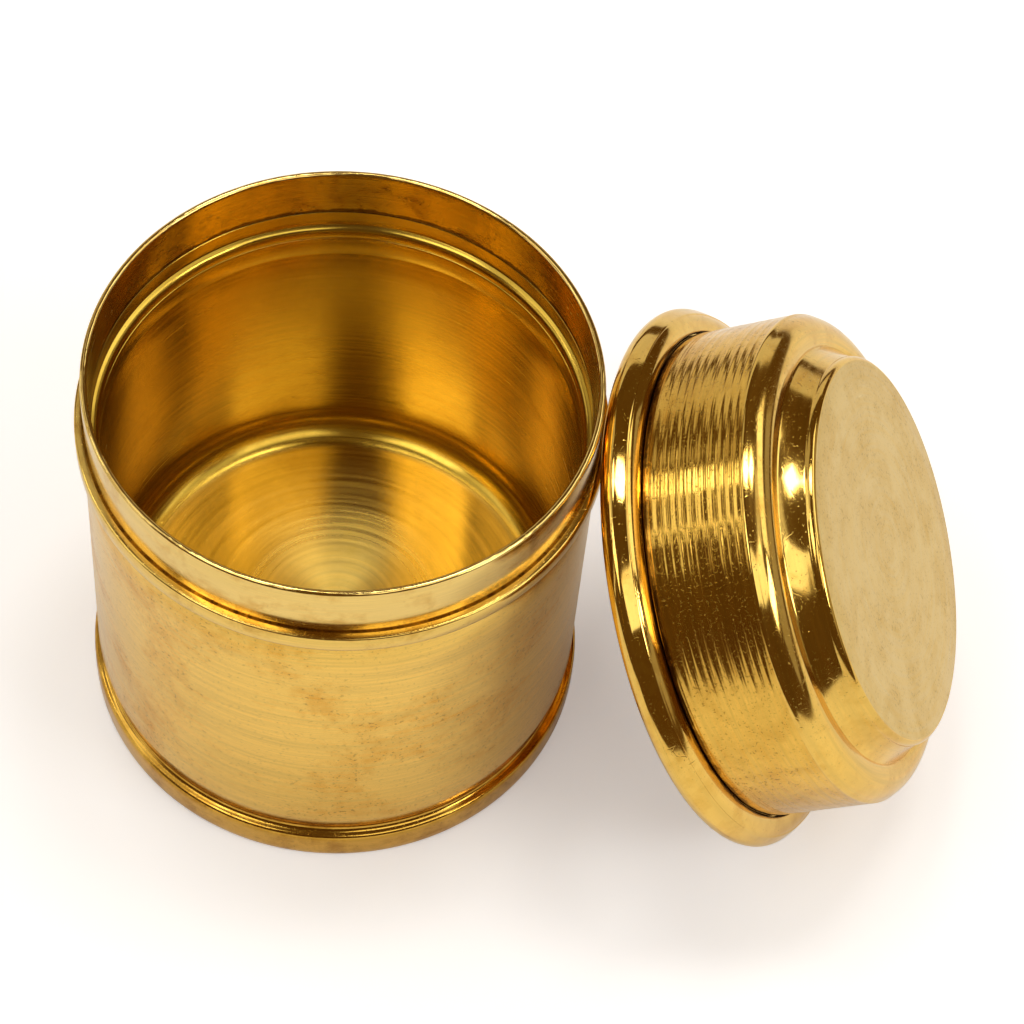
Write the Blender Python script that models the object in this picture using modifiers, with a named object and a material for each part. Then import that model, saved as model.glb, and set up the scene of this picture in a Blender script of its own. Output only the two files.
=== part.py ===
"""Round brass powder box: a turned pot and its lid, which stands beside it and leans on its neck.

Metres, +Z up. The origin is on the floor, in the middle of the box that holds the pot and the
leaning lid. The lid lies towards +X, with its axis in the XZ plane.
"""
import math

import bpy

# Driving sizes: the pot. Every other radius is set off from the body's.
body_radius = 0.03213
body_wall = 0.0015
body_hem = 0.0018              # the lowest part of the body, which draws in
body_hem_tuck = 0.00023        # by this much
floor_thickness = 0.0026
floor_fillet = 0.0040
flange_height = 0.0051         # table to the top edge of the foot's flange
flange_overhang = 0.00067      # how far the flange stands out past the body
foot_slope = 0.0008            # from that edge up to the corner above it
foot_waist_tuck = 0.00058      # the corner is this much inside the body
foot_collar = 0.0008           # from the corner up to the body
foot_land = 0.00363            # from the body in to the recess under the pot
rim_height_share = 0.8994      # floor to the flat rim, over the width of the lid's ring
shoulder_overhang = 0.00092
shoulder_face = 0.00253        # the upright part of the shoulder ring
shoulder_chamfer = 0.00082     # the part below it, which draws in to the body
spigot_height = 0.00077        # the shoulder ring's lip inside the neck
spigot_wall = 0.00035
shoulder_flare = 0.0001        # the ring's bore opens by this much towards the top
neck_height = 0.0082           # the ledge that the neck stands on is this far below the rim
neck_inset = 0.00013           # the neck at the rim is this much slimmer than the body
neck_taper = 0.00015           # the neck is this much slimmer again at its foot
neck_wall = 0.0009

# Driving sizes: the lid, along its own axis from the widest plane of its ring
ring_mouth = 0.0021            # widest plane to the mouth
ring_belly = 0.0002            # the upright part of that, before the mouth's rounding
ring_shoulder = 0.0010         # rounding of the other edge
ring_wall = 0.00304            # from the socket out to the widest place
ring_web = 0.00065             # from the socket's floor to the top of the ring
socket_depth = 0.0035          # how far the neck goes in
crown_inset = 0.00047          # the crown is this much slimmer than the rim
crown_wall = 0.0010
crown_height = 0.01838         # widest plane to the top of the rounded shoulder
crown_rounding = 0.00348
button_inset = 0.00667         # from the crown's wall in to the raised disc
button_rim = 0.00045
button_edge = 0.00131          # from the narrowest place under the disc to its top
cove_rise = 0.00252            # from the rounded shoulder up to that narrowest place
cove_depth = 0.00031           # how far it lies inside the disc
cove_foot_reach = 0.00029      # how far its foot stands out past the disc
cove_foot_sink = 0.0005        # the flat part falls this much towards the disc
lean_drop = 0.00244            # the lid leans on the neck this far below the rim

# Clearances and small sizes
seam_gap = 0.0003              # between two soldered pieces
socket_clearance = 0.00015     # ring bore over the neck, on the radius
lean_gap = 0.0002              # between the leaning lid and the rim
edge_break = 0.00015
segments = 72
corner_steps = 6
crisp_angle = math.radians(30)

# Derived sizes that the pot and its lid share
rim_radius = body_radius - neck_inset
socket_radius = rim_radius + socket_clearance
ring_radius = socket_radius + ring_wall
rim_height = ring_radius * 2 * rim_height_share
ledge_height = rim_height - neck_height
lid_tilt = math.acos((rim_height - lean_drop) / (ring_radius * 2))    # its axis above the floor

# Derived radii and levels of the pot
foot_radius = body_radius + flange_overhang
foot_waist = body_radius - foot_waist_tuck
foot_bore = body_radius - foot_land
foot_waist_height = flange_height + foot_slope
foot_height = foot_waist_height + foot_collar
body_hem_radius = body_radius - body_hem_tuck
cup_underside = foot_height + seam_gap
cup_floor = cup_underside + floor_thickness
cup_bore = body_radius - body_wall
shoulder_radius = body_radius + shoulder_overhang
shoulder_underside = ledge_height - shoulder_face - shoulder_chamfer
cup_top = shoulder_underside - seam_gap
spigot_top = ledge_height + spigot_height
spigot_bore = cup_bore + shoulder_flare
spigot_radius = spigot_bore + spigot_wall
neck_foot = ledge_height + seam_gap
neck_step = spigot_top + seam_gap
neck_foot_radius = rim_radius - neck_taper

# Derived radii and levels of the lid
socket_floor = socket_depth - ring_mouth
ring_back = socket_floor + ring_web
ring_corner = ring_mouth - ring_belly
crown_foot = ring_back + seam_gap
crown_radius = rim_radius - crown_inset
crown_bore = crown_radius - crown_wall
button_radius = crown_radius - button_inset
cove_height = crown_height + cove_rise
button_height = cove_height + button_edge
cove_radius = button_radius - cove_depth
cove_foot_radius = button_radius + cove_foot_reach
button_bore = cove_radius - crown_wall


def arc(centre_r, centre_z, radius, start, end):
    """Points of a rounded corner, from one angle to another in degrees."""
    points = []
    for step in range(corner_steps + 1):
        angle = math.radians(start + (end - start) * step / corner_steps)
        points.append((centre_r + radius * math.cos(angle), centre_z + radius * math.sin(angle)))
    return points


def neck_radius(height):
    """Outside radius of the tapered neck at a height."""
    share = (height - neck_foot) / (rim_height - neck_foot)
    return neck_foot_radius + neck_taper * share


# Profiles, as (radius, height) down the outer side and up the inner side
cup_profile = [(0, cup_floor)]
cup_profile += arc(cup_bore - floor_fillet, cup_floor + floor_fillet, floor_fillet, -90, 0)
cup_profile += [
    (cup_bore, cup_top - edge_break),
    (cup_bore + edge_break, cup_top),
    (body_radius - edge_break, cup_top),
    (body_radius, cup_top - edge_break),
    (body_radius, cup_underside + body_hem),
    (body_hem_radius, cup_underside + edge_break),
    (body_hem_radius - edge_break, cup_underside),
    (0, cup_underside),
]

shoulder_profile = [
    (spigot_radius, spigot_top),
    (spigot_radius, ledge_height),
    (shoulder_radius - edge_break, ledge_height),
    (shoulder_radius, ledge_height - edge_break),
    (shoulder_radius, ledge_height - shoulder_face),
    (body_radius, shoulder_underside + edge_break),
    (body_radius - edge_break, shoulder_underside),
    (cup_bore, shoulder_underside),
    (spigot_bore, spigot_top),
]

neck_profile = [
    (rim_radius - edge_break, rim_height),
    (rim_radius, rim_height - edge_break),
    (neck_foot_radius, neck_foot),
    (spigot_radius + seam_gap, neck_foot),
    (spigot_radius + seam_gap, neck_step),
    (neck_radius(neck_step) - neck_wall, neck_step),
    (rim_radius - neck_wall, rim_height - edge_break),
    (rim_radius - neck_wall + edge_break, rim_height),
]

# The flange's belly, as a share of its height
flange_belly_share = 0.5
foot_profile = [
    (foot_bore, foot_height),
    (body_hem_radius - edge_break, foot_height),
    (foot_waist, foot_waist_height),
    (foot_radius - edge_break * 2, flange_height + edge_break),
    (foot_radius - edge_break / 2, flange_height - edge_break),
    (foot_radius, flange_height * flange_belly_share),
    (foot_radius - edge_break, edge_break * 3),
    (foot_radius - edge_break * 3, 0),
    (foot_bore + edge_break * 2, 0),
    (foot_bore, edge_break * 2),
]

ring_profile = [(crown_bore, ring_back)]
ring_profile += arc(ring_radius - ring_shoulder, ring_back - ring_shoulder, ring_shoulder, 90, 0)
ring_profile += arc(ring_radius - ring_corner, ring_corner - ring_mouth, ring_corner, 0, -90)
ring_profile += [
    (socket_radius + edge_break, -ring_mouth),
    (socket_radius, edge_break - ring_mouth),
    (socket_radius, socket_floor),
    (crown_bore, socket_floor),
]

shoulder_centre_r = crown_radius - crown_rounding
shoulder_centre_z = crown_height - crown_rounding
crown_profile = [
    (0, button_height),
    (button_radius - button_rim, button_height),
    (button_radius, button_height - button_rim),
    (button_radius, button_height - button_rim * 2),
    (cove_radius, cove_height),
    (cove_radius, (cove_height + crown_height) / 2),
    (cove_foot_radius, crown_height - cove_foot_sink),
]
crown_profile += arc(shoulder_centre_r, shoulder_centre_z, crown_rounding, 90, 0)
crown_profile += [
    (crown_radius, crown_foot + edge_break),
    (crown_radius - edge_break, crown_foot),
    (crown_bore, crown_foot),
]
crown_profile += arc(shoulder_centre_r, shoulder_centre_z, crown_rounding - crown_wall, 0, 90)
crown_profile += [
    (button_bore, crown_height - cove_foot_sink - crown_wall),
    (button_bore, button_height - crown_wall),
    (0, button_height - crown_wall),
]


# The lid's resting place: its ring stands on the floor and leans on the rim
def along_x(radius, height):
    """Furthest reach along the floor of a point of the lid's profile, on its lower side."""
    return height * math.cos(lid_tilt) + radius * math.sin(lid_tilt)


def towards_pot(radius, height):
    """Reach towards the pot of the same point on the lid's upper side."""
    return radius * math.sin(lid_tilt) - height * math.cos(lid_tilt)


def below_axis(radius, height):
    """Depth of the same point below the lid's centre."""
    return radius * math.cos(lid_tilt) - height * math.sin(lid_tilt)


lid_z = max(below_axis(*point) for point in ring_profile)
lid_x = rim_radius + lean_gap + max(towards_pot(*point) for point in ring_profile)
lid_reach = lid_x + max(along_x(*point) for point in crown_profile)
pot_x = (shoulder_radius - lid_reach) / 2


def clear_scene():
    for old in list(bpy.data.objects):
        bpy.data.objects.remove(old, do_unlink=True)


def brass(name, colour, roughness):
    """A Principled brass of its own for one piece."""
    material = bpy.data.materials.new(name)
    material.use_nodes = True
    shader = material.node_tree.nodes["Principled BSDF"]
    shader.inputs["Base Color"].default_value = (*colour, 1)
    shader.inputs["Metallic"].default_value = 1
    shader.inputs["Roughness"].default_value = roughness
    material.diffuse_color = (*colour, 1)
    return material


def empty(name, collection, parent=None):
    """A plain axes empty that carries pieces."""
    stand = bpy.data.objects.new(name, None)
    stand.empty_display_size = rim_radius
    stand.parent = parent
    collection.objects.link(stand)
    return stand


def turned(name, profile, closed, material, collection, parent):
    """A lathe-turned piece: its profile swept once round the axis."""
    points = [(radius, 0, height) for radius, height in profile]
    edges = [(index, index + 1) for index in range(len(points) - 1)]
    if closed:
        edges.append((len(points) - 1, 0))
    mesh = bpy.data.meshes.new(name)
    mesh.from_pydata(points, edges, [])
    piece = bpy.data.objects.new(name, mesh)
    collection.objects.link(piece)
    piece.parent = parent
    mesh.materials.append(material)
    screw = piece.modifiers.new("Turn", 'SCREW')
    screw.axis = 'Z'
    screw.steps = segments
    screw.render_steps = segments
    screw.use_merge_vertices = True
    screw.merge_threshold = 0.00001
    graph = bpy.context.evaluated_depsgraph_get()
    solid = bpy.data.meshes.new_from_object(piece.evaluated_get(graph))
    piece.modifiers.clear()
    piece.data = solid
    solid.name = name
    solid.shade_smooth()
    solid.set_sharp_from_angle(angle=crisp_angle)
    return piece


def build():
    clear_scene()
    collection = bpy.data.collections.new("brass_powder_box")
    bpy.context.scene.collection.children.link(collection)

    pot = empty("pot_axis", collection)
    pot.location = (pot_x, 0, 0)
    lid = empty("lid_axis", collection, pot)
    lid.location = (lid_x, 0, lid_z)
    lid.rotation_euler = (0, math.pi / 2 - lid_tilt, 0)

    turned("foot_ring", foot_profile, True,
           brass("foot_brass", (0.58, 0.36, 0.12), 0.30), collection, pot)
    turned("body_cup", cup_profile, False,
           brass("body_brass", (0.62, 0.42, 0.18), 0.34), collection, pot)
    turned("shoulder_ring", shoulder_profile, True,
           brass("shoulder_brass", (0.60, 0.38, 0.13), 0.28), collection, pot)
    turned("neck_sleeve", neck_profile, True,
           brass("neck_brass", (0.70, 0.49, 0.22), 0.30), collection, pot)
    turned("lid_ring", ring_profile, True,
           brass("lid_ring_brass", (0.64, 0.42, 0.15), 0.18), collection, lid)
    turned("lid_crown", crown_profile, False,
           brass("lid_crown_brass", (0.64, 0.43, 0.17), 0.26), collection, lid)


build()
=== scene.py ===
# %% [markdown]
# # A turned brass powder box
#
# The box is a round pot with a raised neck, and a stepped lid that stands beside it and
# leans on its rim. All of it was turned on a lathe from yellow brass, so this file works
# like a lathe too: each piece is a profile that is drawn point by point and spun once
# round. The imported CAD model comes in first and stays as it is. Every piece here takes
# the place of one of its nodes, with the finer steps, ridges and wear of the real one.

import math
from types import SimpleNamespace

import bpy
from mathutils import Matrix, Vector


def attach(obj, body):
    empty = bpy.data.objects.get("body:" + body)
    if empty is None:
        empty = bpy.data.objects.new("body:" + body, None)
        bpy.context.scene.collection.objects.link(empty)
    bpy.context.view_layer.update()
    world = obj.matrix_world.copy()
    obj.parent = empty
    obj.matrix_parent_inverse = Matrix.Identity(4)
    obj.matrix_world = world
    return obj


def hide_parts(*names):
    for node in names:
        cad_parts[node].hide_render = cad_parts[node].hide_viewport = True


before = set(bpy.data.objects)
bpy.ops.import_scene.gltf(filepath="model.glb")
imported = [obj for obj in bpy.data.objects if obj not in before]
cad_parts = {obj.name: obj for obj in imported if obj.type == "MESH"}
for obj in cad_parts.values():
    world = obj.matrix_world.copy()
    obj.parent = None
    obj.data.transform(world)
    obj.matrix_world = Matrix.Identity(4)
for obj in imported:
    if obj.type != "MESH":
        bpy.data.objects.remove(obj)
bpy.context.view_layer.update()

# %% [markdown]
# ## The camera
#
# The photograph was taken from above with a long lens, a little turned. A camera could be
# placed by eye, but a round rim shows every degree. So this one stands where the rim, the
# foot and the lid of the model fall on their outlines in the picture.

# %% Put the camera in its place
camera_place = (0.005163, -0.228261, 0.377764)
yaw, pitch, roll = (math.radians(angle) for angle in (-1.9363, 56.0603, 6.3921))
bpy.ops.object.camera_add()
camera = bpy.context.object
camera.name = "camera"
camera.matrix_world = (Matrix.Translation(camera_place)
                       @ Matrix.Rotation(-yaw, 4, 'Z')
                       @ Matrix.Rotation(math.pi / 2 - pitch, 4, 'X')
                       @ Matrix.Rotation(roll, 4, 'Z'))
camera.data.sensor_width = 36
camera.data.lens = 112.5
camera.data.clip_start = 0.01
bpy.context.scene.camera = camera
print("camera height:", camera.matrix_world.translation.z)

# %% [markdown]
# ## Where the pieces stand
#
# A profile is written in millimetres, as (radius, height) pairs. The pot's height starts at
# the table. The lid's starts at the widest plane of its ring and runs along its own axis,
# which lies 30.15 degrees above the table. So a lid piece is turned upright first, and then
# tilted and moved on to the place where the CAD lid leans.

# %% Axes of the pot and the lid
mm = 0.001
pot_place = Vector((-24.7038, 0, 0)) * mm
lid_place = Vector((26.28856, 0, 30.78734)) * mm
lid_tilt = math.pi / 2 - math.radians(30.14799)
no_tilt = 0
print("pot at", tuple(pot_place), "and lid at", tuple(lid_place), "tilted", round(math.degrees(lid_tilt), 2))


# %% Start clean
def deselect():
    """Nothing selected, in object mode: the start of every step."""
    if bpy.context.mode != 'OBJECT':
        bpy.ops.object.mode_set(mode='OBJECT')
    bpy.ops.object.select_all(action='DESELECT')


# %% [markdown]
# ## Turning a piece
#
# A lathe piece could be a circle that is extruded and scaled ring by ring, or a profile that
# is swept. The sweep is chosen here, because a hundred fine steps are then only a hundred
# points. A plane is merged to one point, the point is extruded along the profile, and Spin
# carries it once round. The doubles at the seam and at the poles are merged before the
# normals are made to point outwards. Faces that meet at more than 35 degrees keep a hard
# edge between them, as a tool leaves it, and all others are shaded smooth.

# %% The lathe
def turn(name, profile, steps, place, tilt):
    """One turned piece, in its place, with its object at the origin."""
    deselect()
    bpy.ops.mesh.primitive_plane_add(size=mm)
    piece = bpy.context.object
    piece.name = piece.data.name = name
    bpy.ops.object.mode_set(mode='EDIT')
    bpy.ops.mesh.merge(type='CENTER')
    last = Vector((0, 0, 0))
    for number, (radius, height) in enumerate(profile):
        point = Vector((radius, 0, height)) * mm
        if number == 0:
            bpy.ops.transform.translate(value=point)
        else:
            bpy.ops.mesh.extrude_region_move(TRANSFORM_OT_translate={"value": point - last})
        last = point
    bpy.ops.mesh.select_all(action='SELECT')
    bpy.ops.mesh.spin(steps=steps, angle=math.tau, center=(0, 0, 0), axis=(0, 0, 1))
    bpy.ops.mesh.select_all(action='SELECT')
    bpy.ops.mesh.remove_doubles(threshold=0.002 * mm)
    bpy.ops.mesh.normals_make_consistent(inside=False)
    bpy.ops.object.mode_set(mode='OBJECT')
    piece.location = place
    piece.rotation_euler = (0, tilt, 0)
    bpy.ops.object.transform_apply(location=True, rotation=True, scale=True)
    bpy.ops.object.shade_smooth_by_angle(angle=math.radians(35))
    print(name, "has", len(piece.data.polygons), "faces")
    return piece


# %% Stretches of a profile
def straight(radius, *heights):
    """Points of a straight wall of a profile."""
    return [(radius, height) for height in heights]


def bend(centre, radius, start, end, count):
    """Points of a rounded corner of a profile, between two angles in degrees."""
    turns = [math.radians(start + (end - start) * n / count) for n in range(count + 1)]
    return [(centre[0] + radius * math.cos(a), centre[1] + radius * math.sin(a)) for a in turns]


# Steps round a piece; the neck has more, because its nicks need points
round_steps, neck_steps = 256, 384
sag = 32 * (1 - math.cos(math.pi / round_steps))
print("a flat face stays", round(sag, 4), "mm inside a circle of 32 mm radius")

# %% [markdown]
# ## The pot's body
#
# The body is a straight cup. Its floor was faced on the lathe, and still shows the rings of
# the tool. A soft fillet leads up to the wall, and near the top of the wall the tool left one
# thin groove. The outside is plain, and draws in a little at its foot. It could be a cylinder
# with its top inset and pushed down, but then the fillet and the rings would have to be
# added one by one. In a profile they are a few points more.

# %% Turn the body
floor_height, bore_radius, body_radius, body_bottom = 9.6, 30.15, 32.13, 7.0
ring_radii = (1.1, 2.3, 3.2, 4.6, 5.9, 6.8, 8.1, 9.6, 10.7, 12.1, 13.2, 14.9, 16.0, 17.4, 18.8, 19.9, 21.3, 22.6,
              23.9, 25.2)
floor_rings = [(radius, floor_height + (0.007 if number % 2 else -0.003)) for number, radius in enumerate(ring_radii)]
tool_groove = [(30.18, 48.42), (30.18, 48.56)]
body_profile = [(0, floor_height)] + floor_rings
body_profile += bend((26.15, 13.6), 4.0, -90, 0, 16)
body_profile += straight(bore_radius, 22, 30, 38, 44, 48.3) + tool_groove + straight(bore_radius, 48.7, 51.4)
body_profile += [(30.2, 51.6), (30.4, 51.72), (31.9, 51.72), (32.08, 51.66), (32.13, 51.5)]
body_profile += straight(body_radius, 46, 38, 30, 22, 14, 8.95)
body_profile += [(32.1, 8.6), (31.95, 7.4), (31.88, 7.1), (31.75, body_bottom), (28.4, body_bottom),
                 (20, body_bottom), (10, body_bottom), (0, body_bottom)]
body = turn("pot_body", body_profile, round_steps, pot_place, no_tilt)

# %% [markdown]
# ## The foot
#
# The foot is a separate ring, soldered under the body. A narrow collar meets the body, one
# smooth cove runs out of it, and a low flange with rounded edges carries the pot. The cove
# turns through a right angle in a millimetre and a half, so it squeezes the whole studio
# into a few thin lines, bright and dark. A bevelled ring would give straight bands instead,
# so the cove is drawn with a point every tenth or two of a millimetre.

# %% Turn the foot
foot_profile = [(28.5, 6.95), (31.66, 6.95), (31.7, 6.88), (31.64, 6.6), (31.55, 6.3), (31.49, 6.0),
                (31.48, 5.75), (31.52, 5.5), (31.62, 5.28), (31.8, 5.1), (32.02, 4.99), (32.25, 4.93),
                (32.45, 4.86), (32.6, 4.74), (32.7, 4.56), (32.76, 4.3), (32.79, 3.95), (32.8, 3.4),
                (32.8, 2.6), (32.79, 1.6), (32.74, 0.9), (32.64, 0.45), (32.5, 0.18), (32.3, 0.0),
                (28.8, 0), (28.55, 0.12), (28.5, 0.35), (28.5, 6.95)]
foot = turn("pot_foot", foot_profile, round_steps, pot_place, no_tilt)

# %% [markdown]
# ## The shoulder
#
# A flat ring closes the top of the body and carries the neck. From above it is a ledge a
# millimetre wide. Inside the pot it ends in a rounded step, where the wide bore of the neck
# meets the narrower one of the body. This step faces up, so it shines where the wall below
# it stays dark. It could be part of the body's profile, but on the real pot a thin seam
# runs under it, and a piece of its own gives that seam for nothing.

# %% Turn the shoulder
rounded_step = [(30.15, 52.2), (30.17, 52.5), (30.23, 52.78), (30.34, 53.0), (30.5, 53.18), (30.7, 53.31),
                (30.9, 53.39), (31.01, 53.45), (31.05, 53.6), (31.06, 54.4)]
neck_seat = [(31.06, 55.82), (31.09, 55.85), (31.12, 55.82), (31.12, 55.16)]
ledge = [(31.85, 55.12), (32.1, 55.12), (32.75, 55.1), (32.9, 55.06), (33.0, 54.96), (33.05, 54.8)]
shoulder_side = [(33.05, 53.6), (33.04, 52.9), (32.98, 52.62), (32.85, 52.42), (32.6, 52.2), (32.3, 51.98),
                 (32.18, 51.86), (32.05, 51.8), (31.9, 51.78), (30.3, 51.78), (30.18, 51.82)]
shoulder_profile = [(30.15, 51.9)] + rounded_step + neck_seat + ledge + shoulder_side + [(30.15, 51.9)]
shoulder = turn("pot_shoulder", shoulder_profile, round_steps, pot_place, no_tilt)

# %% [markdown]
# ## The neck
#
# The neck is a thin sleeve that the lid grips. The lid has rubbed it bright. Its rim is
# rounded, so a thin line of light runs along it, and its bore flares a little upwards. A
# pipe with Solidify would have a flat rim and an even wall, so it is turned from a profile
# like the rest, in more steps, because the nicks of the rim need points.

# %% Turn the neck
neck_profile = bend((31.55, 62.87), 0.43, 180, 0, 12)
neck_profile += [(31.98, 60), (31.93, 58), (31.88, 56.6), (31.86, 55.6), (31.86, 55.15), (31.4, 55.15),
                 (31.17, 55.2), (31.17, 55.95), (31.12, 56.0), (31.04, 56.05), (31.0, 56.14), (31.0, 56.3),
                 (31.02, 57), (31.06, 59), (31.1, 61), (31.12, 62.5), (31.12, 62.87)]
neck = turn("pot_neck", neck_profile, neck_steps, pot_place, no_tilt)

# %% [markdown]
# ## Nicks in the rim
#
# Years of putting the lid on have left small nicks in the rim. They could be cut one by
# one, but there are dozens, so Displace makes them from a cloud texture of 0.7 mm. A vertex
# group with only the rim's top keeps the rest of the neck as the lathe left it. The mid
# level of 1 lets the cloud push metal in only, never out.

# %% Nick the rim
nick_size, nick_depth, rim_starts = 0.7 * mm, 0.035 * mm, 63.1 * mm
rim = neck.vertex_groups.new(name="rim")
edge_points = [point.index for point in neck.data.vertices if point.co.z > rim_starts]
rim.add(edge_points, 1.0, 'REPLACE')
nick_texture = bpy.data.textures.new("rim_nicks", 'CLOUDS')
nick_texture.noise_scale = nick_size
nick_texture.noise_depth = 1
nick_texture.contrast = 2.2
deselect()
neck.select_set(True)
bpy.context.view_layer.objects.active = neck
nicks = neck.modifiers.new("nicks", 'DISPLACE')
nicks.texture = nick_texture
nicks.texture_coords = 'LOCAL'
nicks.vertex_group = "rim"
nicks.mid_level = 1.0
nicks.strength = nick_depth
bpy.ops.object.modifier_apply(modifier=nicks.name)
neck.vertex_groups.clear()
print("points on the rim:", len(edge_points))

# %% [markdown]
# ## The lid's ring
#
# The ring is the lid's widest part and its socket. Its outside is half a roll, wide and
# polished towards the mouth. A broad sloping band follows, then a thin groove, a second
# rounded band, and the narrow seam where the crown was soldered in. A torus would be round
# all over and show one bright line, while the flat of the band gives the broad shine.

# %% Turn the ring
seam_edge = [(31.55, 1.72), (31.56, 2.2), (31.62, 2.34), (31.75, 2.44), (32.0, 2.48)]
rounded_band = [(32.4, 2.46), (32.8, 2.38), (33.2, 2.24), (33.6, 2.02), (33.9, 1.82)]
thin_groove = [(34.0, 1.73), (34.05, 1.7), (34.12, 1.71)]
sloping_band = [(34.2, 1.66), (34.33, 1.48), (34.5, 1.22), (34.68, 0.94), (34.85, 0.67), (35.0, 0.42),
                (35.1, 0.2), (35.16, 0.0), (35.18, -0.2)]
roll = bend((33.29, -0.2), 1.9, 0, -84, 14)
mouth = [(33.2, -2.1), (32.35, -2.1), (32.2, -2.04), (32.15, -1.9), (32.15, 1.4), (30.6, 1.4),
         (30.55, 1.45), (30.55, 1.68), (30.6, 1.72), (31.55, 1.72)]
ring_profile = seam_edge + rounded_band + thin_groove + sloping_band + roll + mouth
ring = turn("lid_ring_turned", ring_profile, round_steps, lid_place, lid_tilt)

# %% [markdown]
# ## The ridged wall of the crown
#
# The wall of the crown keeps the marks of a round-nosed tool: shallow hollows about a
# millimetre wide, with a finer ripple in them, and every one has its own glint. They could
# be a bump in the material, but the glints come from their shape, so they are real hollows
# of the profile, a point each tenth of a millimetre. Two sine waves whose pace drifts give
# them the uneven hand of the turner.

# %% Draw the ridged wall
wall_radius, wall_foot, wall_step, wall_points = 31.52, 2.55, 0.1, 128
hollow_depth, ripple_depth = 0.035, 0.013
wall_profile = []
for number in range(wall_points):
    height = wall_foot + wall_step * number
    hollow = abs(math.sin(2.6 * height + 0.7 * math.sin(0.9 * height)))
    ripple = abs(math.sin(7.1 * height + 1.2 * math.sin(2.3 * height)))
    wall_profile.append((wall_radius - hollow_depth * hollow - ripple_depth * ripple, height))
print("ridged wall from", wall_profile[0], "to", wall_profile[-1])

# %% [markdown]
# ## The rest of the crown
#
# Above the wall come a thin bright edge, the rounded shoulder, a seam, a steep cove, and the
# raised disc. The inside follows the outside a millimetre deeper, as a spun shell does, so
# the lid is hollow when it is lifted. Solidify could make that wall, but it would copy every
# ridge to the inside, and a real bore is smooth.

# %% Turn the crown
crown_foot = [(30.53, 2.1), (31.35, 2.1), (31.42, 2.2), (31.47, 2.45)]
bright_edge = [(31.5, 15.38), (31.53, 15.5), (31.53, 15.64), (31.5, 15.8), (31.42, 15.95), (31.3, 16.1)]
round_shoulder = bend((28.05, 14.86), 3.47, 26, 90, 14)
crown_seam = [(27.4, 18.33), (27.05, 18.28), (26.95, 18.2), (26.85, 18.14), (26.74, 18.2)]
steep_cove = [(26.6, 18.36), (26.3, 18.76), (26.0, 19.2), (25.72, 19.66), (25.48, 20.1), (25.28, 20.5),
              (25.12, 20.84), (25.02, 21.04)]
disc = [(24.99, 21.14), (25.0, 21.26), (24.98, 21.44), (24.93, 21.66), (24.83, 21.88), (24.66, 22.05),
        (24.48, 22.16), (24.3, 22.21), (20, 22.21), (12, 22.21), (0, 22.21)]
inner_side = [(0, 21.2), (22, 21.2), (23.4, 21.0), (23.55, 20.6), (23.55, 17.2), (23.7, 16.95), (27.9, 16.9)]
inner_side += bend((28.05, 14.9), 2.48, 85, 0, 10) + [(30.53, 8), (30.53, 2.1)]
crown_profile = crown_foot + wall_profile + bright_edge + round_shoulder + crown_seam + steep_cove + disc + inner_side
crown = turn("lid_crown_turned", crown_profile, round_steps, lid_place, lid_tilt)

# %% [markdown]
# ## Colours and nodes
#
# Colours are written as sRGB hex values, as a picture editor gives them, and one function
# turns them into the linear values that a shader wants. A second one adds a node, with its
# settings and with links to its inputs, so that a material reads like a recipe.

# %% Hex to linear, and one node
def linear(hex_value):
    """An sRGB hex colour as a linear colour with alpha."""
    parts = [int(hex_value[n:n + 2], 16) / 255 for n in (1, 3, 5)]
    return [p / 12.92 if p <= 0.04045 else ((p + 0.055) / 1.055) ** 2.4 for p in parts] + [1]


def add(tree, kind, settings=None, **links):
    """One node with its settings; a link's name is the input's, or in_ and its number."""
    node = tree.nodes.new(kind)
    for key, value in (settings or {}).items():
        if isinstance(key, str) and hasattr(node, key):
            setattr(node, key, value)
        else:
            node.inputs[key].default_value = value
    for key, source in links.items():
        socket = node.inputs[int(key[3:])] if key.startswith("in_") else node.inputs[key.replace("_", " ")]
        tree.links.new(source, socket)
    return node


print("clean brass as a linear colour:", [round(part, 3) for part in linear("#F5CB64")])


# %% [markdown]
# ## A pattern that follows the lathe
#
# Brass is copper and zinc, and a bare metal: all its colour is in its reflections. What
# tells one surface from another is how the lathe, the hand and the years left it, and most
# of that runs round the axis. Object coordinates know nothing of the axis, so a Mapping
# node first brings them upright and to millimetres. From there come the distance from the
# axis and the way along the profile, on a wall and on a flat floor alike.

# %% Coordinates of a turned piece
def lathe_space(tree, place, tilt):
    """Sockets in millimetres: the point, its x, y and height, its radius, and the way along the profile."""
    spot = add(tree, "ShaderNodeTexCoord").outputs["Object"]
    point = add(tree, "ShaderNodeMapping", {"vector_type": 'TEXTURE', "Location": place, "Rotation": (0, tilt, 0),
                                            "Scale": (mm, mm, mm)}, Vector=spot).outputs[0]
    x, y, height = add(tree, "ShaderNodeSeparateXYZ", Vector=point).outputs
    flat = add(tree, "ShaderNodeCombineXYZ", X=x, Y=y).outputs[0]
    radius = add(tree, "ShaderNodeVectorMath", {"operation": 'LENGTH'}, in_0=flat).outputs["Value"]
    along = add(tree, "ShaderNodeMath", {"operation": 'ADD'}, in_0=height, in_1=radius).outputs[0]
    return SimpleNamespace(spot=spot, point=point, x=x, y=y, height=height, radius=radius, along=along)


# %% [markdown]
# ## The marks of the tool
#
# A turned surface has long fine lines, and bands of them that are a little wider. A Wave
# texture would give perfect rings. A noise that is squeezed along the profile and left long
# round the axis breaks them up, as a hand-fed tool does.

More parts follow.
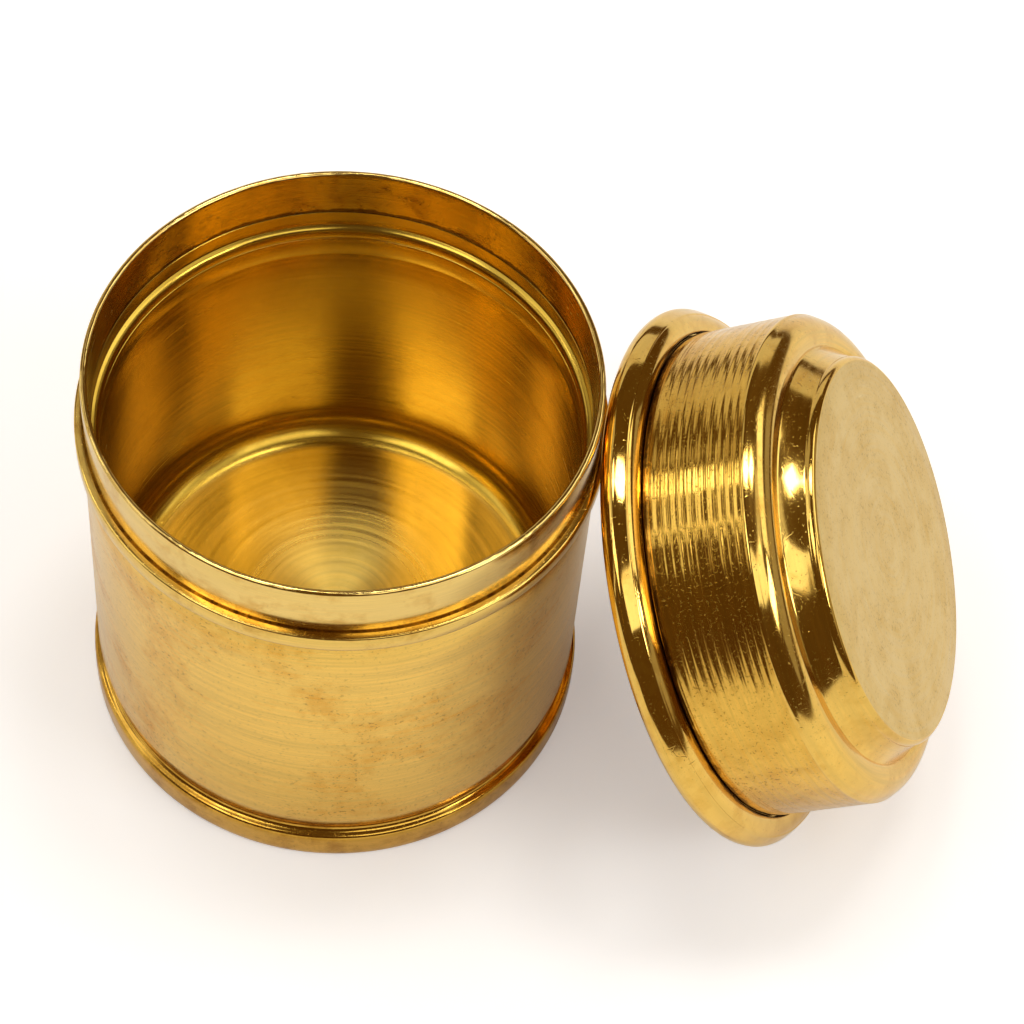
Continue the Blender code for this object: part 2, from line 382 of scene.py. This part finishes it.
# %% Lines and bands
def tool_marks(tree, space, length, spacing):
    """Fine lines and the bands five times as wide, both slow round the axis and quick along the profile."""
    marks = []
    for squeeze, settings in ((length / spacing, {"Scale": 1 / length, "Detail": 3, "Roughness": 0.6}),
                              (length / spacing / 5, {"Scale": 0.4 / length, "Detail": 2})):
        quick = add(tree, "ShaderNodeMath", {"operation": 'MULTIPLY', 1: squeeze}, in_0=space.along).outputs[0]
        squeezed = add(tree, "ShaderNodeCombineXYZ", X=space.x, Y=space.y, Z=quick).outputs[0]
        marks.append(add(tree, "ShaderNodeTexNoise", settings, Vector=squeezed).outputs["Fac"])
    return marks


# %% [markdown]
# ## Tarnish and pits
#
# Old brass darkens in large soft patches. A mottle and the lines of the tool break their
# edges up, because tarnish creeps along scratches. Pits are small and sit mostly where the
# metal is tarnished.

# %% Patches and pits
def tarnish_patches(tree, space, line, patches, streaks):
    """0 on bare metal and 1 on full tarnish."""
    patch = add(tree, "ShaderNodeTexNoise", {"Scale": 1 / patches[0], "Detail": 5, "Roughness": 0.6,
                                             "Distortion": 0.4}, Vector=space.point).outputs["Fac"]
    mottle = add(tree, "ShaderNodeTexNoise", {"Scale": 0.7, "Detail": 4, "Roughness": 0.65},
                 Vector=space.point).outputs["Fac"]
    mixed = add(tree, "ShaderNodeMix", {"Factor": 0.28}, A=patch, B=mottle).outputs[0]
    mixed = add(tree, "ShaderNodeMix", {"Factor": streaks * 0.35}, A=mixed, B=line).outputs[0]
    return add(tree, "ShaderNodeMapRange", {"From Min": patches[1], "From Max": patches[2]}, Value=mixed).outputs[0]


def pit_marks(tree, space, tarnish, size, start):
    """0 on whole metal and 1 in a pit."""
    pit = add(tree, "ShaderNodeTexNoise", {"Scale": 1 / size, "Detail": 2, "Roughness": 0.5},
              Vector=space.point).outputs["Fac"]
    pit = add(tree, "ShaderNodeMapRange", {"From Min": start, "From Max": start + 0.05}, Value=pit).outputs[0]
    where = add(tree, "ShaderNodeMapRange", {"To Min": 0.25, "To Max": 1}, Value=tarnish).outputs[0]
    return add(tree, "ShaderNodeMath", {"operation": 'MULTIPLY'}, in_0=pit, in_1=where).outputs[0]


# %% [markdown]
# ## Scratches and darker corners
#
# Handling leaves short thin scratches in all directions. The edges of a bent Voronoi
# pattern are such lines, once a noise hides most of them. The metal is also made darker
# towards a corner. The darkening thins out with the height above the corner, and a noise
# makes its edge ragged.

# %% Scratches and darkening towards a corner
def scratch_marks(tree, space):
    """0 on whole metal and 1 in a scratch."""
    bent = add(tree, "ShaderNodeTexNoise", {"Scale": 0.5, "Detail": 1}, Vector=space.point).outputs["Color"]
    bent = add(tree, "ShaderNodeVectorMath", {"operation": 'MULTIPLY_ADD', 1: (1.5, 1.5, 1.5)}, in_0=bent,
               in_2=space.point).outputs[0]
    scratch = add(tree, "ShaderNodeTexVoronoi", {"feature": 'DISTANCE_TO_EDGE', "Scale": 0.4},
                  Vector=bent).outputs["Distance"]
    scratch = add(tree, "ShaderNodeMapRange", {"From Max": 0.03, "To Min": 1, "To Max": 0}, Value=scratch).outputs[0]
    here = add(tree, "ShaderNodeTexNoise", {"Scale": 0.45, "Detail": 2}, Vector=bent).outputs["Fac"]
    here = add(tree, "ShaderNodeMapRange", {"From Min": 0.53, "From Max": 0.6}, Value=here).outputs[0]
    return add(tree, "ShaderNodeMath", {"operation": 'MULTIPLY'}, in_0=scratch, in_1=here).outputs[0]


def corner_dirt(tree, space, bottom, top):
    """Darkening from a corner, full at the bottom height and gone at the top one."""
    corner = add(tree, "ShaderNodeMapRange", {"From Min": top, "From Max": bottom}, Value=space.height).outputs[0]
    ragged = add(tree, "ShaderNodeTexNoise", {"Scale": 0.35, "Detail": 5, "Roughness": 0.65},
                 Vector=space.point).outputs["Fac"]
    corner = add(tree, "ShaderNodeMath", {"operation": 'ADD'}, in_0=corner, in_1=ragged).outputs[0]
    return add(tree, "ShaderNodeMapRange", {"From Min": 0.95, "From Max": 1.15, "To Max": 0.85},
               Value=corner).outputs[0]


# %% [markdown]
# ## The colour and the gloss of the metal
#
# The colour goes from bare metal to tarnish, then pits and the darkening towards a corner
# make it darker, and the lines of the tool shade it a little. Tarnish and torn metal also
# scatter light, so the roughness follows the same marks: the eye reads a stain on brass by
# its dull shine as much as by its colour.

# %% Colour and gloss
# Brown mixed into the metal towards a corner, darkest at the corner and thinning out above it
dirt_brown = "#5A3406"
torn_middle = (3, 18)  # radii in mm between which the torn metal of a faced floor fades out


def metal_colour(tree, marks, clean, dull, dark, pit_share, streaks):
    """The colour of the metal with its tarnish, its darkening towards a corner, pits and lines."""
    metal = add(tree, "ShaderNodeMix", {"data_type": 'RGBA', 6: linear(clean), 7: linear(dull)},
                in_0=marks.tarnish).outputs[2]
    metal = add(tree, "ShaderNodeMix", {"data_type": 'RGBA', 7: linear(dirt_brown)}, in_0=marks.dirt,
                in_6=metal).outputs[2]
    fade = add(tree, "ShaderNodeMath", {"operation": 'MULTIPLY', 1: pit_share}, in_0=marks.pit).outputs[0]
    metal = add(tree, "ShaderNodeMix", {"data_type": 'RGBA', 7: linear(dark)}, in_0=fade, in_6=metal).outputs[2]
    shade = add(tree, "ShaderNodeMapRange", {"From Min": 0.3, "From Max": 0.7, "To Min": 1 - 0.22 * streaks,
                                             "To Max": 1 + 0.1 * streaks}, Value=marks.line).outputs[0]
    return add(tree, "ShaderNodeVectorMath", {"operation": 'SCALE'}, in_0=metal, Scale=shade).outputs[0]


def metal_gloss(tree, space, marks, gloss, centre):
    """The roughness, from bare to tarnished, with the lines and the torn middle of a faced floor."""
    rough = add(tree, "ShaderNodeMapRange", {"To Min": gloss[0], "To Max": gloss[1]}, Value=marks.tarnish).outputs[0]
    drift = add(tree, "ShaderNodeMapRange", {"From Min": 0.3, "From Max": 0.7, "To Min": 0.8, "To Max": 1.25},
                Value=marks.line).outputs[0]
    rough = add(tree, "ShaderNodeMath", {"operation": 'MULTIPLY'}, in_0=rough, in_1=drift).outputs[0]
    torn = add(tree, "ShaderNodeMapRange", {"From Min": torn_middle[0], "From Max": torn_middle[1],
                                            "To Min": centre, "To Max": 0}, Value=space.radius).outputs[0]
    return add(tree, "ShaderNodeMath", {"operation": 'ADD'}, in_0=rough, in_1=torn).outputs[0]


# %% [markdown]
# ## The relief and the stretched highlight
#
# What is too fine for the mesh goes into Bump nodes, one behind the other, each with its
# real depth. Fine lines all in one direction also stretch a highlight across themselves.
# That is anisotropy, and it needs a tangent: here the direction round the axis, which is
# the cross product of the axis and the arm from it to the point.

# %% Relief and tangent
pit_depth = 0.02  # in mm


def relief(tree, space, marks, wave_size, wave_depth, line_depth, scuffs):
    """The bumped normal, with all depths in mm."""
    wave = add(tree, "ShaderNodeTexNoise", {"Scale": 1 / wave_size, "Detail": 1}, Vector=space.point).outputs["Fac"]
    normal = add(tree, "ShaderNodeBump", {"Strength": 1, "Distance": wave_depth * mm}, Height=wave).outputs[0]
    for height, depth, sunk in ((marks.band, line_depth * 4, False), (marks.line, line_depth, False),
                                (marks.pit, pit_depth, True), (marks.scratch, scuffs, True)):
        normal = add(tree, "ShaderNodeBump", {"Strength": 1, "Distance": depth * mm, "invert": sunk},
                     Height=height, Normal=normal).outputs[0]
    return normal


def round_the_axis(tree, space, place, tilt):
    """The direction round the piece's axis."""
    axis = (math.sin(tilt), 0, math.cos(tilt))
    arm = add(tree, "ShaderNodeVectorMath", {"operation": 'SUBTRACT', 1: place}, in_0=space.spot).outputs[0]
    return add(tree, "ShaderNodeVectorMath", {"operation": 'CROSS_PRODUCT', 0: axis}, in_1=arm).outputs[0]


# %% [markdown]
# ## Turned brass
#
# One function puts these parts together, and each finish gets its own sizes, all in
# millimetres. A metal keeps the default IOR, and its stretch is the same all over, so it is
# set on the shader's own socket.

# %% Brass from the lathe
no_corner_darkening = (-200, -100)  # heights far below every piece


def turned_brass(name, place, tilt, clean, dull, dark, gloss, patches=(13, 0.5, 0.62), lines=(14, 0.22),
                 line_depth=0.0015, pits=(0.35, 0.7), pit_share=0.6, waves=(7, 0.0), stretch=0.5, streaks=0.5,
                 dark_corner=no_corner_darkening, scuffs=0.004, centre=0.0):
    """A brass finish.

    clean, dull, dark: hex colours of the bare metal, its tarnish and its pits
    gloss: roughness of the bare and of the tarnished metal
    patches: size of the tarnish patches in mm, and the noise levels where they start and are full
    lines: length and spacing of the turning lines in mm; line_depth: their depth in mm
    pits: size of the pits in mm and the noise level where they start; pit_share: how dark they are
    waves: size and depth in mm of slow unevenness; stretch: the anisotropy of the highlight
    streaks: how much the lines show in the colour and the tarnish
    dark_corner: the heights in mm between which the darkening from a corner thins out
    scuffs: depth in mm of the short scratches; centre: roughness added towards the axis
    """
    material = bpy.data.materials.new(name)
    material.use_nodes = True
    tree = material.node_tree
    shader = tree.nodes["Principled BSDF"]
    space = lathe_space(tree, place, tilt)
    line, band = tool_marks(tree, space, *lines)
    tarnish = tarnish_patches(tree, space, line, patches, streaks)
    marks = SimpleNamespace(line=line, band=band, tarnish=tarnish, pit=pit_marks(tree, space, tarnish, *pits),
                            scratch=scratch_marks(tree, space), dirt=corner_dirt(tree, space, *dark_corner))
    for socket, value in (("Base Color", metal_colour(tree, marks, clean, dull, dark, pit_share, streaks)),
                          ("Roughness", metal_gloss(tree, space, marks, gloss, centre)),
                          ("Normal", relief(tree, space, marks, *waves, line_depth, scuffs)),
                          ("Tangent", round_the_axis(tree, space, place, tilt))):
        tree.links.new(value, shader.inputs[socket])
    shader.inputs["Anisotropic"].default_value = stretch
    shader.inputs["Anisotropic Rotation"].default_value = 0.25
    shader.inputs["Metallic"].default_value = 1
    print("made", name)
    return material


# %% [markdown]
# ## Where each finish goes
#
# One piece can carry several finishes. Its faces could be picked by hand, but on a turned
# piece a distance from the axis and a height say all. So each finish comes with a zone, and
# a face takes the first one that it lies in.

# %% Finishes by zone
def zone(radii=(-1, 99), heights=(-99, 99)):
    """A rule that holds between two radii and two heights in mm."""
    return lambda radius, height: radii[0] < radius < radii[1] and heights[0] < height < heights[1]


def finish(piece, place, tilt, finishes):
    """Give each face the first finish whose zone it lies in."""
    upright = (Matrix.Translation(place) @ Matrix.Rotation(tilt, 4, 'Y')).inverted()
    for material, _ in finishes:
        piece.data.materials.append(material)
    for face in piece.data.polygons:
        spot = upright @ face.center / mm
        radius = math.hypot(spot.x, spot.y)
        face.material_index = next(n for n, (_, holds) in enumerate(finishes) if holds(radius, spot.z))
    print(piece.name, "has the finishes", [material.name for material, _ in finishes])


everywhere = zone()

# %% [markdown]
# ## The finishes of the pot
#
# The outside of the pot is worn satin brass with old amber tarnish. Its inside was never
# handled, and two or three reflections one after another make it deep orange. The floor was
# faced with a pointed tool. The neck is brushed by the lid and the brightest part. The foot
# is deeper gold, painted shade for the dark contact shadow that it mirrors. Dirt sits in the
# corner at the neck, where no cloth reaches, and the neck's bore is darker towards its foot.
# Lines finer than about 0.2 mm don't show at this distance, so the spacings are drawn as
# coarse as they need to be to show.

# %% Finishes of the pot
# Yellow brass, turned, then worn by hands: broad soft light with faint lines and warm stains
outside = turned_brass("worn_satin_brass", pot_place, no_tilt, "#F5CB64", "#DFA232", "#704810", (0.16, 0.26),
                       patches=(13, 0.5, 0.68), lines=(20, 0.45), line_depth=0.003, pits=(0.42, 0.62),
                       pit_share=0.75, streaks=0.7)
# Bored and never handled: soft upright bands of light, crossed by fine level lines
inside = turned_brass("bored_brass", pot_place, no_tilt, "#DEB94B", "#CCA33A", "#8A6218", (0.19, 0.25),
                      patches=(16, 0.45, 0.7), lines=(30, 0.5), line_depth=0.003, pits=(0.5, 0.72),
                      pit_share=0.3, stretch=0.6, streaks=0.9, scuffs=0.0)
# Faced with a pointed tool: rings, and a spread of light at the middle, where the metal is torn
faced = turned_brass("faced_floor_brass", pot_place, no_tilt, "#EECB68", "#DDB64C", "#8A6218", (0.17, 0.22),
                     patches=(12, 0.45, 0.7), lines=(26, 0.7), line_depth=0.003, pits=(0.5, 0.72),
                     pit_share=0.3, stretch=0.7, streaks=0.9, scuffs=0.0, centre=0.24)
# Rubbed by the lid: pale, with short close lines
brushed = turned_brass("brushed_neck_brass", pot_place, no_tilt, "#F4D27A", "#DBA94A", "#6A470F", (0.13, 0.22),
                       patches=(6, 0.5, 0.68), lines=(10, 0.16), line_depth=0.003, pits=(0.3, 0.7))
# The neck's bore: small dark stains, and darker brown along its foot
neck_bore = turned_brass("stained_neck_brass", pot_place, no_tilt, "#E3BC50", "#AE7E22", "#523208", (0.18, 0.28),
                         patches=(4, 0.5, 0.66), lines=(12, 0.4), line_depth=0.006, pits=(0.5, 0.62),
                         pit_share=0.8, dark_corner=(56.0, 57.4))
# The shoulder's outside: clearer reflections than the body's, with thin lines
half_bright = turned_brass("half_polished_brass", pot_place, no_tilt, "#F0CA68", "#CC993C", "#52360C", (0.12, 0.22),
                           patches=(7, 0.5, 0.66), lines=(20, 0.25), line_depth=0.003, pits=(0.3, 0.66))
# The foot: deeper gold, painted shade for the dark contact shadow that it mirrors, with brown stains
shade_painted_foot = turned_brass("shade_painted_foot_brass", pot_place, no_tilt, "#E0B04A", "#B68228", "#4A2E0A", (0.12, 0.22),
                         patches=(7, 0.46, 0.62), lines=(20, 0.25), line_depth=0.003, pits=(0.3, 0.66))
# The corner at the neck, with solder and old dirt: a dark broken line
corner = turned_brass("stained_corner_brass", pot_place, no_tilt, "#A8741E", "#4E2C06", "#241204", (0.2, 0.35),
                      patches=(3, 0.4, 0.6), lines=(8, 0.2), line_depth=0.006, pits=(0.4, 0.55))

# %% Put them on the pot
finish(body, pot_place, no_tilt, [(faced, zone(radii=(-1, 26.9), heights=(8.5, 10))),
                                  (inside, zone(radii=(-1, 31.0), heights=(8.5, 99))), (outside, everywhere)])
finish(foot, pot_place, no_tilt, [(shade_painted_foot, everywhere)])
finish(shoulder, pot_place, no_tilt, [(inside, zone(radii=(-1, 31.1))),
                                      (corner, zone(radii=(-1, 32.3), heights=(55, 99))), (half_bright, everywhere)])
finish(neck, pot_place, no_tilt, [(neck_bore, zone(radii=(-1, 31.15), heights=(-99, 63.0))), (brushed, everywhere)])

# %% [markdown]
# ## The finishes of the lid
#
# The lid has the cleanest metal. Its ring and cove are polished and mirror the lamps as
# sharp shapes, a little bent by slow waves in the metal. The wall keeps the ridges of the
# tool, so a lamp breaks into many short glints there. The disc is pale and dull and holds
# one even tone. A thin seam of grime marks the joint of crown and ring.

# %% Finishes of the lid
# Polished on the lathe: nearly a mirror, and the waves make its reflections run like liquid
polished = turned_brass("polished_brass", lid_place, lid_tilt, "#F0C663", "#D8A441", "#744E14", (0.07, 0.15),
                        patches=(7, 0.48, 0.68), lines=(25, 0.3), line_depth=0.0016, pits=(0.3, 0.68),
                        pit_share=0.5, waves=(4, 0.012), stretch=0.3)
# Left from the tool: rough bands between the ridges, and darker brown just above the seam
ridged = turned_brass("ridged_brass", lid_place, lid_tilt, "#EEBF56", "#CF9B3C", "#5E3C10", (0.12, 0.2),
                      patches=(8, 0.46, 0.64), lines=(14, 0.4), line_depth=0.012, pits=(0.34, 0.62),
                      pit_share=0.7, waves=(4, 0.008), stretch=0.4, streaks=0.8, dark_corner=(2.2, 3.9))
# The shoulder, smoothed but not polished: softer reflections with visible lines
spun = turned_brass("spun_shoulder_brass", lid_place, lid_tilt, "#F0C663", "#D8A441", "#6A450F", (0.11, 0.2),
                    patches=(7, 0.48, 0.68), lines=(18, 0.35), line_depth=0.005, pits=(0.34, 0.66),
                    waves=(4, 0.012), stretch=0.4, streaks=0.7)
# The disc, rubbed in all directions: no stretch, no mirror image, and fine brown specks
speckled = turned_brass("speckled_disc_brass", lid_place, lid_tilt, "#E8CA80", "#E0BC68", "#9C7630", (0.34, 0.42),
                        patches=(5, 0.42, 0.72), lines=(9, 0.5), line_depth=0.0012, pits=(0.34, 0.6),
                        pit_share=0.55, stretch=0.0, streaks=0.2)
# Grime in the seam: almost black, and dull
seam = turned_brass("seam_grime", lid_place, lid_tilt, "#9A6A20", "#4A2806", "#241204", (0.3, 0.5),
                    patches=(2.5, 0.4, 0.56), lines=(6, 0.3), line_depth=0.006, pits=(0.4, 0.55), stretch=0.2)

# %% Put them on the lid
finish(ring, lid_place, lid_tilt, [(seam, zone(radii=(-1, 31.7), heights=(1.75, 99))), (polished, everywhere)])
finish(crown, lid_place, lid_tilt, [(seam, zone(radii=(30.6, 99), heights=(-99, 2.3))),
                                    (speckled, zone(radii=(-1, 24.3), heights=(22, 99))),
                                    (spun, zone(radii=(24.9, 31.45), heights=(15.6, 99))),
                                    (ridged, zone(radii=(31.2, 99), heights=(-99, 15.5))), (polished, everywhere)])

# %% [markdown]
# ## The table
#
# The box stands on white paper, which fills the whole picture. The paper glows a little:
# 0.34 for the camera, so that it comes out white while the shadow stays in it, and much
# less in the brass, which mirrors mostly lit paper and would turn chalky otherwise. The
# sheet could be a large square, but then it shows grey where the lamps no longer reach. It
# is round and ends there, so that from a low angle it runs into the white backdrop.

# %% Lay the paper
table_radius = 0.85
paper_glow, mirrored_glow = 0.34, 0.1
deselect()
bpy.ops.mesh.primitive_circle_add(vertices=128, radius=table_radius, fill_type='NGON')
table = bpy.context.object
table.name = "table"
paper = bpy.data.materials.new("white_paper")
paper.use_nodes = True
paper_shader = paper.node_tree.nodes["Principled BSDF"]
for paper_input, value in (("Base Color", linear("#F8F8F7")), ("Roughness", 1), ("Specular IOR Level", 0),
                           ("Emission Color", (1, 1, 1, 1))):
    paper_shader.inputs[paper_input].default_value = value
ray = add(paper.node_tree, "ShaderNodeLightPath")
mirrored = add(paper.node_tree, "ShaderNodeMath", {"operation": 'MAXIMUM'}, in_0=ray.outputs["Is Glossy Ray"],
               in_1=ray.outputs["Is Transmission Ray"])
mirrored = add(paper.node_tree, "ShaderNodeMath", {"operation": 'MULTIPLY', 1: mirrored_glow},
               in_0=mirrored.outputs[0])
glow = add(paper.node_tree, "ShaderNodeMath", {"operation": 'MULTIPLY_ADD', 1: paper_glow},
           in_0=ray.outputs["Is Camera Ray"], in_2=mirrored.outputs[0])
paper.node_tree.links.new(glow.outputs[0], paper_shader.inputs["Emission Strength"])
table.data.materials.append(paper)
print("paper", 2 * table_radius, "m across")

# %% [markdown]
# ## The room
#
# Between the lamps the brass mirrors the room. A white room would wash the metal out, so
# this one is dim and warm, and gives the dark browns. Where the camera looks past the
# table, it sees a white backdrop in place of the room.

# %% Light the room
room_colour, room_strength = "#C89A5A", 0.19
world = bpy.data.worlds.new("studio") if bpy.context.scene.world is None else bpy.context.scene.world
bpy.context.scene.world = world
world.use_nodes = True
room = world.node_tree.nodes["Background"]
room.inputs["Color"].default_value = linear(room_colour)
room.inputs["Strength"].default_value = room_strength
backdrop = add(world.node_tree, "ShaderNodeBackground", {"Color": (1, 1, 1, 1), "Strength": 1})
seen = add(world.node_tree, "ShaderNodeLightPath")
chosen = add(world.node_tree, "ShaderNodeMixShader", in_0=seen.outputs["Is Camera Ray"], in_1=room.outputs[0],
             in_2=backdrop.outputs[0])
world.node_tree.links.new(chosen.outputs[0], world.node_tree.nodes["World Output"].inputs["Surface"])
print("room strength", room_strength)

# %% [markdown]
# ## The lamps
#
# What polished brass shows is mostly the lamps, so each one is a soft rectangle placed by
# the direction and the angle that it fills, and none is in the picture. Two bright ones
# stand overhead and light the disc, the shoulder and the floor of the pot. A pair in front
# gives the broad light on the pot, one at the right the hot line on its neck, and large
# faint ones stand at the sides and behind. Two small ones at the left make the white glints
# on the lid.

# %% Hang the lamps
lamp_distance = 1.2
aim = Vector((0, 0, 0.03))


def softbox(name, azimuth, zenith, width, height, brightness):
    """A soft lamp seen from the box in a direction in degrees, with its size in degrees.

    brightness 1 is as bright as white paper in this light."""
    turned, leaned = math.radians(azimuth), math.radians(zenith)
    way = Vector((math.sin(leaned) * math.cos(turned), math.sin(leaned) * math.sin(turned), math.cos(leaned)))
    deselect()
    bpy.ops.object.light_add(type='AREA', location=way * lamp_distance + aim)
    lamp = bpy.context.object
    lamp.name = name
    lamp.rotation_euler = way.to_track_quat('Z', 'Y').to_euler()
    lamp.data.shape = 'RECTANGLE'
    lamp.data.size = 2 * lamp_distance * math.tan(math.radians(width / 2))
    lamp.data.size_y = 2 * lamp_distance * math.tan(math.radians(height / 2))
    lamp.data.energy = brightness * math.pi * lamp.data.size * lamp.data.size_y


# Name, azimuth, zenith angle, width, height and brightness
lamps = (("overhead_left_softbox", 135, 14, 12, 12, 8.7),
         ("overhead_right_softbox", 60, 14, 12, 12, 10.7),
         ("high_right_softbox", 0, 27, 30, 14, 0.7),
         ("high_left_softbox", 180, 27, 30, 14, 0.6),
         ("front_left_softbox", 226, 32, 22, 20, 2.6),
         ("front_right_softbox", 309, 34, 28, 20, 1.5),
         ("right_softbox", 338, 52, 22, 12, 6.6),
         ("back_right_softbox", 28, 44, 46, 20, 1.6),
         ("left_softbox", 182, 42, 24, 16, 1.2),
         ("back_left_softbox", 140, 42, 24, 24, 0.45),
         ("hot_left_softbox", 168, 52, 10, 6, 4.0),
         ("hot_small_softbox", 196, 55, 8, 5, 1.5),
         ("low_left_softbox", 180, 73, 52, 22, 0.9),
         ("low_back_softbox", 107, 74, 72, 22, 0.6),
         ("low_right_softbox", 10, 73, 60, 22, 0.3))
for lamp_row in lamps:
    softbox(*lamp_row)
print(len(lamps), "softboxes")

# %% [markdown]
# ## Bodies and nodes
#
# The pot and the lid are two bodies of the CAD model, and the lid can be lifted away. Each
# piece rides on one of them and takes the place of one node.

# %% Tie the pieces to the frame
for piece, cad_body, node, slot in ((body, "pot", "body_cup", "body_brass"),
                                    (foot, "pot", "foot_ring", "foot_brass"),
                                    (shoulder, "pot", "shoulder_ring", "shoulder_brass"),
                                    (neck, "pot", "neck_sleeve", "neck_brass"),
                                    (ring, "lid", "lid_ring", "lid_ring_brass"),
                                    (crown, "lid", "lid_crown", "lid_crown_brass")):
    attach(piece, cad_body)
    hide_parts(node)
    print(piece.name, "rides on", cad_body, "and replaces", node)

# %% [markdown]
# ## The last settings
#
# Standard view shows each colour as it is written.

# %% The view
bpy.context.scene.view_settings.view_transform = 'Standard'
